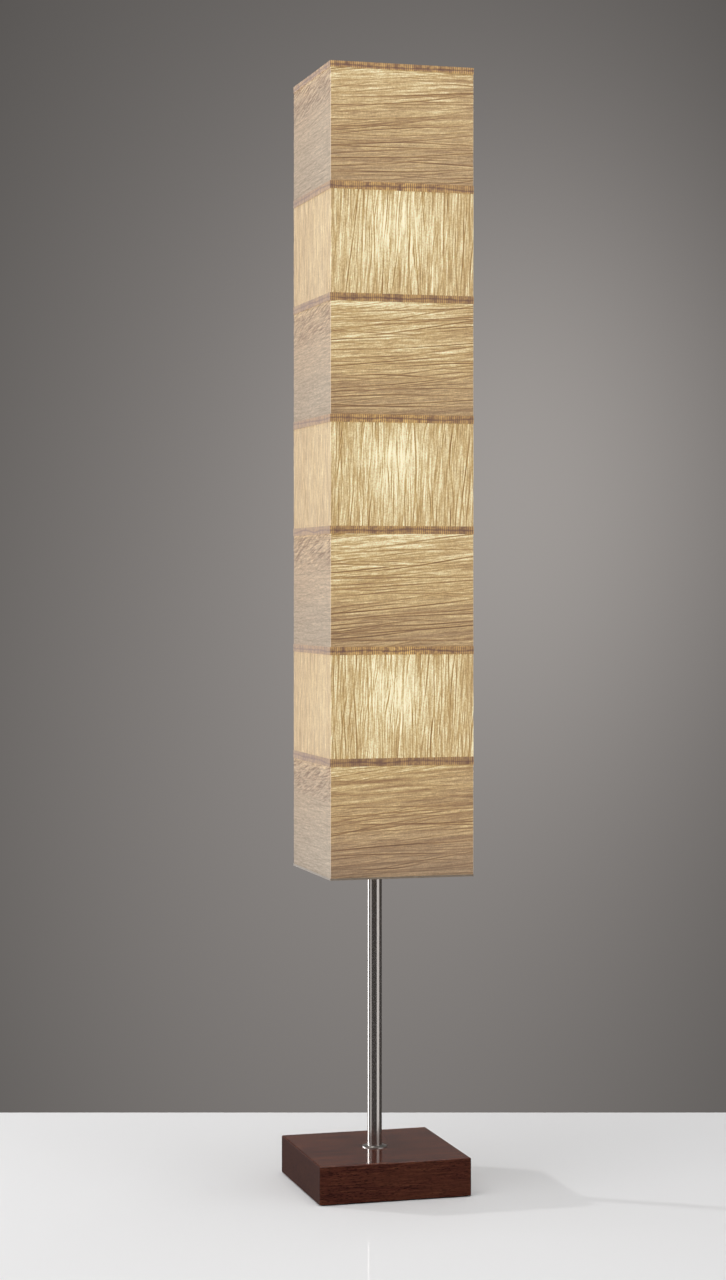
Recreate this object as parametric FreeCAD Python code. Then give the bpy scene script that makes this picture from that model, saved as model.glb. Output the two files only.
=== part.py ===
import FreeCAD, Part
import math
import os

from FreeCAD import Vector

# Andon floor lamp, in millimetres. Z is up, the front of the lamp faces -Y.
# The origin is on the pole's axis, where the lamp meets the floor.

# Clearances
fit_gap = 0.05          # between two pieces that are fixed into each other
turn_gap = 0.1          # around a stem that something turns on
rest_gap = 0.3          # between a bulb and its lamp holder
overrun = 2.0           # how far a cut runs past the face that it opens

# Wooden base
base_width = 200.0
base_height = 48.0
base_edge_radius = 2.0
base_top_wall = 18.0
pocket_width = 150.0
pocket_corner_radius = 6.0
sheet_thickness = 1.5
sheet_inset = 2.5

# Weight plate in the base and its screws
weight_thickness = 20.0
weight_side_gap = 1.0
weight_hole_gap = 6.0
weight_slot_width = 14.0
screw_inset = 16.0
screw_diameter = 4.4
screw_head_diameter = 9.0
screw_head_height = 2.6
screw_bite = 12.0

# Cord inlet in the back of the base
inlet_bore = 8.0
inlet_wall = 2.0
inlet_flange_diameter = 17.0
inlet_flange_thickness = 2.0

# Hollow stud that holds the pole to the base
stud_diameter = 10.0
stud_bore = 6.0
stud_end = 3.0
washer_diameter = 30.0
washer_thickness = 2.0
nut_across_flats = 17.0
nut_height = 6.0

# Pole
pole_diameter = 19.0
pole_wall = 1.5
collar_diameter = 32.0
collar_rim_height = 0.9
collar_height = 2.4
insert_length = 22.0
joint_drop = 20.0       # pole joint below the shade's lower edge
coupling_length = 50.0
coupling_bore = 9.0

# Shade: strips of cloth with the crinkle lying flat or standing upright
shade_bottom = 408.0
shade_width = 190.0
shade_offset = 10.0     # the shade hangs this far to the right of the pole
flat_strip_height = 143.0
upright_strip_height = 131.0
flat_strip_count = 4
cloth_thickness = 1.0
band_height = 10.0
band_thickness = 0.6
top_band_height = 8.0
hem_height = 2.5

# Wire frame inside the shade
post_width = 4.0
rail_width = 3.0
rail_end_rise = 3.0     # lowest rail's middle above the shade's lower edge
arm_width = 9.0
arm_thickness = 2.0
arm_bend_radius = 7.0
spider_recess = 28.0    # hub below the shade's top edge
hub_diameter = 34.0
hub_thickness = 2.5
hub_land_diameter = 21.0

# Fittings on top of the pole
plug_flange_height = 4.0
plug_length = 18.0
seat_nut_height = 6.0
seat_nut_across_flats = 16.0
hub_washer_diameter = 24.0
hub_washer_thickness = 1.5
finial_diameter = 17.0
finial_height = 22.0
finial_foot_diameter = 15.0
finial_foot_height = 3.0
finial_neck_diameter = 11.0
finial_grip = 14.0      # how far the stem reaches into the finial

# Light bulbs
bulb_diameter = 60.0
bulb_length = 108.0
bulb_glass_wall = 1.0
bulb_inside_steps = 4
bulb_inside_sweep = 125.0   # degrees from the top of the bulb to where its inside narrows
bulb_neck_diameter = 29.0
bulb_neck_height = 8.0
bulb_pole_gap = 5.5
bulb_rise = 15.0        # bulb's middle above the middle of an upright strip
screw_base_diameter = 26.4
screw_base_height = 24.0
screw_base_wall = 0.6
tip_height = 3.0
tip_diameter = 10.0

# Lamp holders, one below each bulb
holder_diameter = 37.0
holder_lip = 3.0        # top of the holder's shell below the bulb's glass
screw_shell_wall = 0.7
contact_height = 3.6
contact_diameter = 9.0
block_height = 4.0
holder_cap_height = 18.0
holder_cap_wall = 2.6
nipple_diameter = 10.0
nipple_grip = 8.0
arm_drop = 12.0         # arm's axis below the holder's cap
arm_tube_diameter = 12.0
arm_neck_diameter = 16.0
arm_bore = 6.0
fitting_edge = 2.0
spigot_diameter = 7.6
spigot_length = 3.0

# Heights of the main pieces above the floor
base_bottom = sheet_thickness
base_top = base_bottom + base_height
pocket_top = base_top - base_top_wall
inlet_height = pocket_top - weight_thickness / 2
pole_bottom = base_top + collar_height
pole_joint = shade_bottom - joint_drop
upright_strip_count = flat_strip_count - 1
strip_count = flat_strip_count + upright_strip_count
shade_top = (shade_bottom + flat_strip_count * flat_strip_height
             + upright_strip_count * upright_strip_height
             + (strip_count - 1) * band_height + top_band_height)
hub_bottom = shade_top - spider_recess
hub_top = hub_bottom + hub_thickness
washer_bottom = hub_bottom - hub_washer_thickness
seat_nut_bottom = washer_bottom - seat_nut_height
pole_top = seat_nut_bottom - plug_flange_height

# Radii that several pieces share
pole_radius = pole_diameter / 2
pole_bore_radius = pole_radius - pole_wall
stud_radius = stud_diameter / 2
bulb_radius = bulb_diameter / 2
screw_base_radius = screw_base_diameter / 2
screw_shell_inner_radius = screw_base_radius + rest_gap
screw_shell_outer_radius = screw_shell_inner_radius + screw_shell_wall
holder_radius = holder_diameter / 2
holder_inner_radius = screw_shell_outer_radius + fit_gap

# The shade's square, from its middle to each layer
band_half = shade_width / 2
cloth_half = band_half - band_thickness
frame_half = cloth_half - cloth_thickness

# Bulbs and their holders stand in front of the pole
bulb_y = -(pole_radius + bulb_pole_gap + bulb_radius)
bulb_middle_height = bulb_length - bulb_radius

up = Vector(0, 0, 1)
middle = Vector(0, 0, 0)


def cylinder(radius, low, high, x=0, y=0):
    """Upright cylinder between two heights."""
    return Part.makeCylinder(radius, high - low, Vector(x, y, low))


def ring(outer, inner, low, high, x=0, y=0):
    """Upright cylinder with a round hole through it."""
    hole = cylinder(inner, low - overrun, high + overrun, x, y)
    return cylinder(outer, low, high, x, y).cut(hole)


def square_block(half, low, high, x=0):
    """Upright square block, given by half its width."""
    corner = Vector(x - half, -half, low)
    return Part.makeBox(2 * half, 2 * half, high - low, corner)


def hexagon_nut(across_flats, bore_radius, low, high):
    """Hexagonal nut with a plain hole."""
    reach = across_flats / math.sqrt(3)
    corners = []
    for number in range(7):
        angle = math.radians(60 * number)
        corners.append(Vector(reach * math.cos(angle), reach * math.sin(angle), low))
    body = Part.Face(Part.makePolygon(corners)).extrude(up * (high - low))
    return body.cut(cylinder(bore_radius, low - overrun, high + overrun))


def turned(points):
    """Turned solid from (radius, height) points, in order round its outline."""
    outline = [Vector(radius, 0, height) for radius, height in points]
    outline.append(outline[0])
    return Part.Face(Part.makePolygon(outline)).revolve(middle, up, 360)


def export(name, shapes):
    """Write one sub-part, as one solid or a group of separate solids."""
    if not isinstance(shapes, list):
        shapes = [shapes]
    solids = []
    for shape in shapes:
        solids.extend(shape.Solids)
    whole = solids[0] if len(solids) == 1 else Part.makeCompound(solids)
    whole.exportStep("parts/" + name + ".step")


# Base

def base_block():
    """Wooden block with a pocket below, a hole for the stud and the cord inlet."""
    half = base_width / 2
    block = square_block(half, base_bottom, base_top)
    outer_edges = []
    for edge in block.Edges:
        if edge.BoundBox.ZMax > base_bottom + base_edge_radius:
            outer_edges.append(edge)
    block = block.makeFillet(base_edge_radius, outer_edges)
    pocket = square_block(pocket_width / 2, base_bottom - overrun, pocket_top)
    upright_edges = []
    for edge in pocket.Edges:
        if edge.BoundBox.ZLength > base_height / 2:
            upright_edges.append(edge)
    block = block.cut(pocket.makeFillet(pocket_corner_radius, upright_edges))
    block = block.cut(cylinder(stud_radius + fit_gap, base_bottom, base_top + overrun))
    inlet = along_y(inlet_bore / 2 + inlet_wall + fit_gap, 0, half + overrun)
    flange = along_y(inlet_flange_diameter / 2 + fit_gap, half - inlet_flange_thickness, half + overrun)
    for hole in screw_places():
        block = block.cut(cylinder(screw_diameter / 2 + fit_gap, base_bottom,
                                   pocket_top + screw_bite + fit_gap, hole[0], hole[1]))
    return block.cut(inlet).cut(flange)


def along_y(radius, start, end):
    """Level cylinder at the cord inlet's height, running towards the back."""
    return Part.makeCylinder(radius, end - start, Vector(0, start, inlet_height), Vector(0, 1, 0))


def cord_inlet():
    """Flanged bushing in the back wall of the base."""
    half = base_width / 2
    outer = inlet_bore / 2 + inlet_wall
    sleeve = along_y(outer, pocket_width / 2, half)
    flange = along_y(inlet_flange_diameter / 2, half - inlet_flange_thickness, half)
    return sleeve.fuse(flange).cut(along_y(inlet_bore / 2, 0, half + overrun)).removeSplitter()


def screw_places():
    """Middle of each screw in the weight plate."""
    reach = pocket_width / 2 - screw_inset
    return [(x, y) for x in (-reach, reach) for y in (-reach, reach)]


def weight_plate():
    """Steel plate under the pocket's roof, with a slot for the cord."""
    low = pocket_top - weight_thickness
    half = pocket_width / 2 - weight_side_gap
    plate = square_block(half, low, pocket_top)
    upright_edges = []
    for edge in plate.Edges:
        if edge.BoundBox.ZLength > weight_thickness / 2:
            upright_edges.append(edge)
    plate = plate.makeFillet(pocket_corner_radius, upright_edges)
    plate = plate.cut(cylinder(washer_diameter / 2 + weight_hole_gap, low - overrun, pocket_top + overrun))
    slot = Part.makeBox(weight_slot_width, half + overrun, weight_thickness + 2 * overrun,
                        Vector(-weight_slot_width / 2, 0, low - overrun))
    plate = plate.cut(slot)
    for x, y in screw_places():
        plate = plate.cut(cylinder(screw_diameter / 2 + fit_gap, low - overrun, pocket_top + overrun, x, y))
    return plate


def screw(x, y):
    """Wood screw up through the plate, with its flat head below."""
    seat = pocket_top - weight_thickness
    low = seat - screw_head_height
    head = screw_head_diameter / 2
    shank = screw_diameter / 2
    top = pocket_top + screw_bite
    outline = [(0, low), (head, low), (head, seat), (shank, seat), (shank, top), (0, top)]
    return turned(outline).translated(Vector(x, y, 0))


def non_slip_sheet():
    """Flat sheet that covers the pocket and meets the floor."""
    return square_block(base_width / 2 - sheet_inset, 0, sheet_thickness)


def stud_washer():
    return ring(washer_diameter / 2, stud_radius + fit_gap, pocket_top - washer_thickness, pocket_top)


def stud_nut():
    high = pocket_top - washer_thickness
    return hexagon_nut(nut_across_flats, stud_radius + fit_gap, high - nut_height, high)


def base_stud():
    """Hollow stud from the nut below the wood up into the pole's insert."""
    low = pocket_top - washer_thickness - nut_height - stud_end
    return ring(stud_radius, stud_bore / 2, low, pole_bottom + insert_length - stud_end)


# Pole

def pole_collar():
    """Thin dished collar that the pole stands on."""
    rim = collar_diameter / 2
    bore = stud_radius + fit_gap
    seat = pole_radius + collar_rim_height
    outline = [(bore, base_top), (rim, base_top), (rim, base_top + collar_rim_height),
               (seat, pole_bottom), (bore, pole_bottom)]
    return turned(outline)


def lower_pole():
    return ring(pole_radius, pole_bore_radius, pole_bottom, pole_joint)


def pole_insert():
    """Threaded insert in the foot of the pole."""
    return ring(pole_bore_radius - fit_gap, stud_radius + fit_gap, pole_bottom, pole_bottom + insert_length)


def pole_coupling():
    """Sleeve inside the pole that joins its two lengths."""
    reach = coupling_length / 2
    return ring(pole_bore_radius - fit_gap, coupling_bore / 2, pole_joint - reach, pole_joint + reach)


def upper_pole():
    """Upper tube, with a side hole for the spigot of each lamp holder's arm."""
    tube = ring(pole_radius, pole_bore_radius, pole_joint, pole_top)
    for tip in bulb_tips():
        hole = Part.makeCylinder(spigot_diameter / 2 + fit_gap, pole_diameter,
                                 Vector(0, 0, arm_height(tip)), Vector(0, -1, 0))
        tube = tube.cut(hole)
    return tube


def top_plug():
    """Plug in the top of the pole, with a flange as wide as the pole."""
    high = seat_nut_bottom
    spigot = pole_bore_radius - fit_gap
    bore = stud_radius + fit_gap
    outline = [(bore, pole_top - plug_length), (spigot, pole_top - plug_length), (spigot, pole_top),
               (pole_radius, pole_top), (pole_radius, high), (bore, high)]
    return turned(outline)


def top_stem():
    """Threaded stem that carries the shade and takes the finial."""
    return ring(stud_radius, stud_bore / 2, pole_top - plug_length, hub_top + finial_grip)


def seat_nut():
    return hexagon_nut(seat_nut_across_flats, stud_radius + fit_gap, seat_nut_bottom, washer_bottom)


def hub_washer():
    return ring(hub_washer_diameter / 2, stud_radius + turn_gap, washer_bottom, hub_bottom)


def finial():
    """Turned knob that screws onto the stem and clamps the shade's hub."""
    bore = stud_radius + turn_gap
    foot = finial_foot_diameter / 2
    neck = finial_neck_diameter / 2 + finial_foot_height / 2
    knob = finial_diameter / 2
    foot_top = hub_top + finial_foot_height
    top = hub_top + finial_height
    waist = foot_top + finial_foot_height
    widest = top - knob
    chamber = hub_top + finial_grip + rest_gap
    arc_share = math.sqrt(0.5)
    edges = [
        Part.makePolygon([Vector(0, 0, top), Vector(0, 0, chamber), Vector(bore, 0, chamber),
                          Vector(bore, 0, hub_top), Vector(foot, 0, hub_top), Vector(foot, 0, foot_top),
                          Vector(neck, 0, waist), Vector(knob, 0, widest)]),
        Part.Arc(Vector(knob, 0, widest), Vector(knob * arc_share, 0, widest + knob * arc_share),
                 Vector(0, 0, top)).toShape()]
    outline = Part.Wire(edges[0].Edges + [edges[1]])
    return Part.Face(outline).revolve(middle, up, 360)


# Shade

def strip_edges():
    """Heights of the visible edges of each strip, the top one first."""
    edges = []
    high = shade_top - top_band_height
    for number in range(strip_count):
        height = flat_strip_height if number % 2 == 0 else upright_strip_height
        edges.append((high - height, high))
        high -= height + band_height
    return edges


def strip_joins():
    """Heights where strips of cloth meet, from the top edge to the bottom one."""
    joins = [shade_top]
    for low, high in strip_edges()[:-1]:
        joins.append(low - band_height / 2)
    joins.append(shade_bottom)
    return joins


def cloth_strip(low, high):
    """Four flat panels, mitred where they meet at the corners."""
    outer = cloth_half
    inner = frame_half
    corners = [(-outer, -outer), (outer, -outer), (inner, -inner), (-inner, -inner), (-outer, -outer)]
    outline = Part.makePolygon([Vector(x, y, low) for x, y in corners])
    panel = Part.Face(outline).extrude(up * (high - low))
    panels = []
    for quarter in range(4):
        turned_panel = panel.copy()
        turned_panel.rotate(middle, up, 90 * quarter)
        panels.append(turned_panel.translated(Vector(shade_offset, 0, 0)))
    return panels


def band(low, high):
    """Flat trim band round the outside of the cloth."""
    inside = square_block(cloth_half, low - overrun, high + overrun, shade_offset)
    return square_block(band_half, low, high, shade_offset).cut(inside)


def rail_heights():
    """Height of each level of rails, the top one first."""
    heights = [shade_top - top_band_height / 2]
    heights.extend(strip_joins()[1:-1])
    heights.append(shade_bottom + rail_end_rise)
    return heights


def corner_posts():
    """Square wires up the four corners of the shade."""
    reach = frame_half - post_width / 2 - fit_gap
    low = rail_heights()[-1] - rail_width / 2
    high = rail_heights()[0] + rail_width / 2
    posts = []
    for x in (-reach, reach):
        for y in (-reach, reach):
            corner = Vector(shade_offset + x - post_width / 2, y - post_width / 2, low)
            posts.append(Part.makeBox(post_width, post_width, high - low, corner))
    return posts


def rails(height):
    """Four square wires between the corner posts, at one height."""
    reach = frame_half - fit_gap - post_width
    wire = Part.makeBox(2 * reach, rail_width, rail_width,
                        Vector(-reach, fit_gap - frame_half, height - rail_width / 2))
    wires = []
    for quarter in range(4):
        turned_wire = wire.copy()
        turned_wire.rotate(middle, up, 90 * quarter)
        wires.append(turned_wire.translated(Vector(shade_offset, 0, 0)))
    return wires


def spider_hub():
    """Disc with the hole that the stem passes through."""
    return ring(hub_diameter / 2, stud_radius + turn_gap, hub_bottom, hub_top)


def spider_arm(reach, angle):
    """Flat arm from the hub out to a top rail, bent up at its end."""
    start = hub_land_diameter / 2
    top = rail_heights()[0]
    inner_bend = arm_bend_radius
    outer_bend = arm_bend_radius + arm_thickness
    bend = Vector(reach - outer_bend, 0, hub_top + outer_bend)
    slope = math.sqrt(0.5)
    outer_middle = bend + Vector(outer_bend * slope, 0, -outer_bend * slope)
    inner_middle = bend + Vector(inner_bend * slope, 0, -inner_bend * slope)
    low_start = Vector(start, 0, hub_top)
    low_end = Vector(bend.x, 0, hub_top)
    rise_start = Vector(reach, 0, bend.z)
    rise_end = Vector(reach, 0, top)
    back_end = Vector(reach - arm_thickness, 0, top)
    back_start = Vector(reach - arm_thickness, 0, bend.z)
    high_end = Vector(bend.x, 0, hub_top + arm_thickness)
    high_start = Vector(start, 0, hub_top + arm_thickness)
    outline = Part.Wire([
        Part.makeLine(low_start, low_end),
        Part.Arc(low_end, outer_middle, rise_start).toShape(),
        Part.makeLine(rise_start, rise_end),
        Part.makeLine(rise_end, back_end),
        Part.makeLine(back_end, back_start),
        Part.Arc(back_start, inner_middle, high_end).toShape(),
        Part.makeLine(high_end, high_start),
        Part.makeLine(high_start, low_start)])
    arm = Part.Face(outline).extrude(Vector(0, arm_width, 0))
    arm.translate(Vector(0, -arm_width / 2, 0))
    arm.rotate(middle, up, angle)
    return arm


def spider_arms():
    """Four arms; those to the sides differ by the shade's offset."""
    reach = frame_half - 2 * fit_gap - rail_width
    return [spider_arm(reach + shade_offset, 0), spider_arm(reach, 90),
            spider_arm(reach - shade_offset, 180), spider_arm(reach, 270)]


# Light bulbs and lamp holders

def bulb_tips():
    """Height of the lowest point of each bulb, the top bulb first."""
    tips = []
    for low, high in strip_edges()[1::2]:
        tips.append((low + high) / 2 + bulb_rise - bulb_middle_height)
    return tips


def glass_outline(tip):
    """Outline of a bulb: a straight neck, a cone and a ball that it runs into smoothly."""
    centre = tip + bulb_middle_height
    radius = bulb_radius
    neck = bulb_neck_diameter / 2
    low = tip + screw_base_height + fit_gap
    shoulder = low + bulb_neck_height
    distance = math.hypot(neck, centre - shoulder)
    lean = math.asin(radius / distance) - math.atan2(neck, centre - shoulder)
    touch = Vector(radius * math.cos(lean), 0, centre - radius * math.sin(lean))
    halfway = math.radians(90) / 2 - lean / 2
    crown = Vector(radius * math.cos(halfway), 0, centre + radius * math.sin(halfway))
    top = Vector(0, 0, centre + radius)
    lines = Part.makePolygon([top, Vector(0, 0, low), Vector(neck, 0, low), Vector(neck, 0, shoulder), touch])
    return Part.Wire(lines.Edges + [Part.Arc(touch, crown, top).toShape()])


def bulb_glass(tip):
    """Thin glass envelope, open at the neck; the hidden inside has plain steps of slope."""
    centre = tip + bulb_middle_height
    radius = bulb_radius - bulb_glass_wall
    inside = [(0, centre + radius)]
    for step in range(1, bulb_inside_steps):
        angle = math.radians(90 - step * bulb_inside_sweep / bulb_inside_steps)
        inside.append((radius * math.cos(angle), centre + radius * math.sin(angle)))
    neck = bulb_neck_diameter / 2 - bulb_glass_wall
    inside.append((neck, tip + screw_base_height + bulb_neck_height))
    inside.append((neck, tip))
    inside.append((0, tip))
    outer = Part.Face(glass_outline(tip)).revolve(middle, up, 360)
    return outer.cut(turned(inside)).translated(Vector(0, bulb_y, 0))


def bulb_base(tip):
    """Screw base of a bulb, with the contact at its tip and a rim that holds the glass."""
    outer = screw_base_radius
    inner = outer - screw_base_wall
    rim = bulb_neck_diameter / 2
    high = tip + screw_base_height
    shoulder = tip + tip_height
    foot = tip_diameter / 2
    outline = [(0, tip), (foot, tip), (outer, shoulder), (outer, high - screw_base_wall),
               (rim, high - screw_base_wall), (rim, high), (inner, high), (inner, shoulder + tip_height),
               (0, shoulder + tip_height)]
    return turned(outline).translated(Vector(0, bulb_y, 0))


def arm_height(tip):
    """Height of the axis of a lamp holder's arm."""
    return cap_bottom(tip) - arm_drop


def block_bottom(tip):
    """Underside of the contact block in a lamp holder."""
    return tip - rest_gap - contact_height - block_height


def cap_bottom(tip):
    return block_bottom(tip) - holder_cap_height


def holder_shell(tip):
    """Outer shell round the screw shell."""
    high = tip + screw_base_height - holder_lip
    return ring(holder_radius, holder_inner_radius, block_bottom(tip), high, 0, bulb_y)


def screw_shell(tip):
    """Brass shell that the bulb screws into, standing on the contact block."""
    high = tip + screw_base_height - holder_lip
    low = block_bottom(tip) + block_height
    return ring(screw_shell_outer_radius, screw_shell_inner_radius, low, high, 0, bulb_y)


def contact_block(tip):
    """Insulating block with the spring contact on it."""
    low = block_bottom(tip)
    block = cylinder(holder_inner_radius - fit_gap, low, low + block_height, 0, bulb_y)
    contact = Part.makeCone(contact_diameter / 2, contact_diameter / 4, contact_height,
                            Vector(0, bulb_y, low + block_height))
    return block.fuse(contact)


def holder_cap(tip):
    """Cup below the shell, with a tapered skirt and a hole for the arm's nipple."""
    low = cap_bottom(tip)
    high = block_bottom(tip)
    bore = nipple_diameter / 2 + fit_gap
    neck = arm_neck_diameter / 2
    inside = holder_radius - holder_cap_wall
    skirt = low + holder_cap_height / 2
    outline = [(bore, low), (neck + holder_cap_wall, low), (holder_radius, skirt), (holder_radius, high),
               (inside, high), (neck, low + holder_cap_wall), (bore, low + holder_cap_wall)]
    return turned(outline).translated(Vector(0, bulb_y, 0))


def holder_arm(tip):
    """Hollow level arm out of the pole, with an upright fitting that screws into the holder's cap."""
    height = arm_height(tip)
    forward = Vector(0, -1, 0)
    radius = arm_neck_diameter / 2
    foot = height - radius
    seat = cap_bottom(tip)
    nipple = nipple_diameter / 2
    outline = [(0, foot), (radius - fitting_edge, foot), (radius, foot + fitting_edge), (radius, seat),
               (nipple, seat), (nipple, seat + nipple_grip), (0, seat + nipple_grip)]
    fitting = turned(outline).translated(Vector(0, bulb_y, 0))
    level = Part.makeCylinder(arm_tube_diameter / 2, -bulb_y, Vector(0, 0, height), forward)
    pole_room = cylinder(pole_radius + fit_gap, height - arm_tube_diameter, height + arm_tube_diameter)
    spigot_start = pole_radius - spigot_length
    spigot = Part.makeCylinder(spigot_diameter / 2, -bulb_y - spigot_start,
                               Vector(0, -spigot_start, height), forward)
    arm = level.cut(pole_room).fuse([fitting, spigot])
    level_bore = Part.makeCylinder(arm_bore / 2, -bulb_y, Vector(0, 0, height), forward)
    upright_bore = cylinder(arm_bore / 2, height, seat + nipple_grip + overrun, 0, bulb_y)
    return arm.cut(level_bore).cut(upright_bore).removeSplitter()


def export_base():
    export("base_block", base_block())
    export("cord_inlet", cord_inlet())
    export("weight_plate", weight_plate())
    export("weight_screws", [screw(x, y) for x, y in screw_places()])
    export("non_slip_sheet", non_slip_sheet())
    export("stud_washer", stud_washer())
    export("stud_nut", stud_nut())
    export("base_stud", base_stud())


def export_pole():
    export("pole_collar", pole_collar())
    export("lower_pole", lower_pole())
    export("pole_insert", pole_insert())
    export("pole_coupling", pole_coupling())
    export("upper_pole", upper_pole())
    export("top_plug", top_plug())
    export("top_stem", top_stem())
    export("seat_nut", seat_nut())
    export("hub_washer", hub_washer())
    export("finial", finial())


def export_shade():
    joins = strip_joins()
    for number in range(strip_count):
        kind = "flat" if number % 2 == 0 else "upright"
        name = "{}_cloth_{}".format(kind, number // 2 + 1)
        export(name, cloth_strip(joins[number + 1], joins[number]))
    export("top_band", band(shade_top - top_band_height, shade_top))
    for number, (low, high) in enumerate(strip_edges()[:-1]):
        export("trim_band_{}".format(number + 1), band(low - band_height, low))
    export("bottom_hem", band(shade_bottom, shade_bottom + hem_height))
    export("corner_posts", corner_posts())
    levels = rail_heights()
    export("top_rails", rails(levels[0]))
    inner_rails = []
    for height in levels[1:-1]:
        inner_rails.extend(rails(height))
    export("inner_rails", inner_rails)
    export("bottom_rails", rails(levels[-1]))
    export("spider_hub", spider_hub())
    export("spider_arms", spider_arms())


def export_lights():
    for number, tip in enumerate(bulb_tips()):
        place = "_{}".format(number + 1)
        export("bulb_glass" + place, bulb_glass(tip))
        export("bulb_base" + place, bulb_base(tip))
        export("holder_shell" + place, holder_shell(tip))
        export("screw_shell" + place, screw_shell(tip))
        export("contact_block" + place, contact_block(tip))
        export("holder_cap" + place, holder_cap(tip))
        export("holder_arm" + place, holder_arm(tip))


os.makedirs("parts", exist_ok=True)
export_base()
export_pole()
export_shade()
export_lights()
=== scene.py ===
import math

import bpy
import numpy as np
from mathutils import Matrix, Vector, noise


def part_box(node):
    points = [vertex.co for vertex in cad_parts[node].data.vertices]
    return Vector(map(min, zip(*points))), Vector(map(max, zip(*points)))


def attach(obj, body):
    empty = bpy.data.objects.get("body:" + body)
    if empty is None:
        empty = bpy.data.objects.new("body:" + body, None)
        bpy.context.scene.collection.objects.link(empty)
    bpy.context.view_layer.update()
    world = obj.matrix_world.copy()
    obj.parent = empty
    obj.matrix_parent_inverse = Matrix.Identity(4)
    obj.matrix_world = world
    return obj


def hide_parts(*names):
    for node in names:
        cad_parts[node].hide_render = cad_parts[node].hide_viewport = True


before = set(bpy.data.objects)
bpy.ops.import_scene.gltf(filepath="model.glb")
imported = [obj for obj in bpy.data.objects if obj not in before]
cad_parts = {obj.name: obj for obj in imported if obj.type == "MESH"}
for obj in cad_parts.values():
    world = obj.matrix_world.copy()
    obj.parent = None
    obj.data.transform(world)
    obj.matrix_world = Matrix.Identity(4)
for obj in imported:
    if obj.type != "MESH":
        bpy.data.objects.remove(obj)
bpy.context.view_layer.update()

# Sizes in metres. The front of the lamp faces -Y.

MM = 0.001

# Camera
PHOTO_HEIGHT_PX = 1280
HORIZON_PX = 584.4
CAMERA_PLACE = Vector((-0.9413, -3.2976, 0.781))
CAMERA_TURN = math.radians(-15.68)
LENS_MM = 74.07

# Floor and lights
FLOOR_BACK = 0.465
FLOOR_FRONT = 0.49
FLOOR_SIDE = 0.58
WORLD_LIGHT = 0.19
KEY_UP = math.radians(18)
KEY_WAY = Vector((-0.84 * math.cos(KEY_UP), 0.54 * math.cos(KEY_UP), math.sin(KEY_UP)))
KEY_AWAY = 4
TOP_PLACE = (0, -0.25, 3.6)
TOP_TARGET = (0, 0, 0.3)
SOFT_LEFT = 1.3
SOFT_NEAR = 1.05
SOFT_UP = 2.6
PANEL_AWAY = 3.0
PANEL_HEIGHT = 2.8
BACKDROP_DARK = 0.05
BACKDROP_TINT = (1.0, 0.932, 0.888, 1)
POOL_DEPTH = 0.6

# Pieces that come in numbered sets, from the top of the lamp down
BULBS = (1, 2, 3)
FLATS = (1, 2, 3, 4)
BANDS = (1, 2, 3, 4, 5, 6)

# The shade's square, from the frame
shade_low, shade_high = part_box("top_band")
SHADE_X = (shade_low.x + shade_high.x) / 2
BAND_HALF = (shade_high.x - shade_low.x) / 2
cloth_low, cloth_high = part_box("flat_cloth_1")
CLOTH_HALF = (cloth_high.x - cloth_low.x) / 2
LOOP = 8 * CLOTH_HALF
BULB_RADIUS = 30 * MM

# The mesh of the cloth: coarse along its creases, fine across them
CLOTH_THICKNESS = 0.5 * MM
CLOTH_CORNER = 0.9 * MM
CORNER_EDGE = 0.3 * MM
CORNER_STEPS = 4
CLOTH_STEP = 4 * MM
CREASE_STEP = 0.75 * MM
SHARP_ANGLE = math.radians(50)

# One crease: its least strength, how it fades at its ends, how it sways, and the shoulder beside it
CREASE_WEAKEST = 0.45
CREASE_TAPER = 0.6
CREASE_WAVE = 5         # radians from end to end
SHOULDER_WIDTH = 2.4
SHOULDER_GAIN = 1.7
FAR = 10.0              # a strip's creases don't come round again within this height
FLAT_SEED = 100
UPRIGHT_SEED = 200

# How far the cloth stands out, and how its folds move it
CLOTH_PROUD = 0.25 * MM
CREASE_DROP = 0.5 * MM
FLAT_RIDGE_RISE = 0.4 * MM
UPRIGHT_RIDGE_RISE = 0.45 * MM
BILLOW_RISE = 0.2 * MM
HELD_SHARE = 0.06       # part of a strip's height that each band holds flat

# The lap down the back of the shade
SEAM_PLACE = LOOP / 2 + 12 * MM
SEAM_WIDTH = 8 * MM
SEAM_RISE = 0.4 * MM
SEAM_EDGE = 0.4 * MM
SEAM_LINE = 0.9 * MM
SEAM_SHADE = 0.7

# Light through each level strip: at its lower edge, its rise to the upper edge, how much more shows
# half way up, and how much more under the band
FLAT_LIGHT = {
    1: (0.20, 0.12, 0.02, 0.26),
    2: (0.20, 0.12, 0.075, 0.26),
    3: (0.20, 0.12, 0.075, 0.26),
    4: (0.125, 0.17, 0.03, 0.20),
}
UNDER_BAND = 14 * MM

# The ribbons: their upright ribs, the fold along their middle, and the least light through them
RIBBON_STEP = 0.7 * MM
RIBBON_ROW = 1.0 * MM
RIB_PITCH = 2.5 * MM
RIB_RISE = 0.12 * MM
FOLD_WIDTH = 0.8 * MM
FOLD_DROP = 0.1 * MM
RIBBON_PROUD = 0.15 * MM
RIBBON_LIGHT = 0.42
RIBBON_LIGHT_APART = {"top_band": 0.62, "trim_band_6": 0.28}

# The foam under the base
FOAM_CORNER = 4 * MM
FOAM_EASE = 0.3 * MM
FOAM_STEP = 20 * MM


# Meshes

def new_piece(name, points, faces, look, body):
    """A mesh piece of the lamp that rides on a body."""
    mesh = bpy.data.meshes.new(name)
    mesh.from_pydata(points, [], faces)
    mesh.validate()
    mesh.shade_smooth()
    mesh.set_sharp_from_angle(angle=SHARP_ANGLE)
    piece = bpy.data.objects.new(name, mesh)
    bpy.context.scene.collection.objects.link(piece)
    mesh.materials.append(look)
    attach(piece, body)
    return piece


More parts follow.
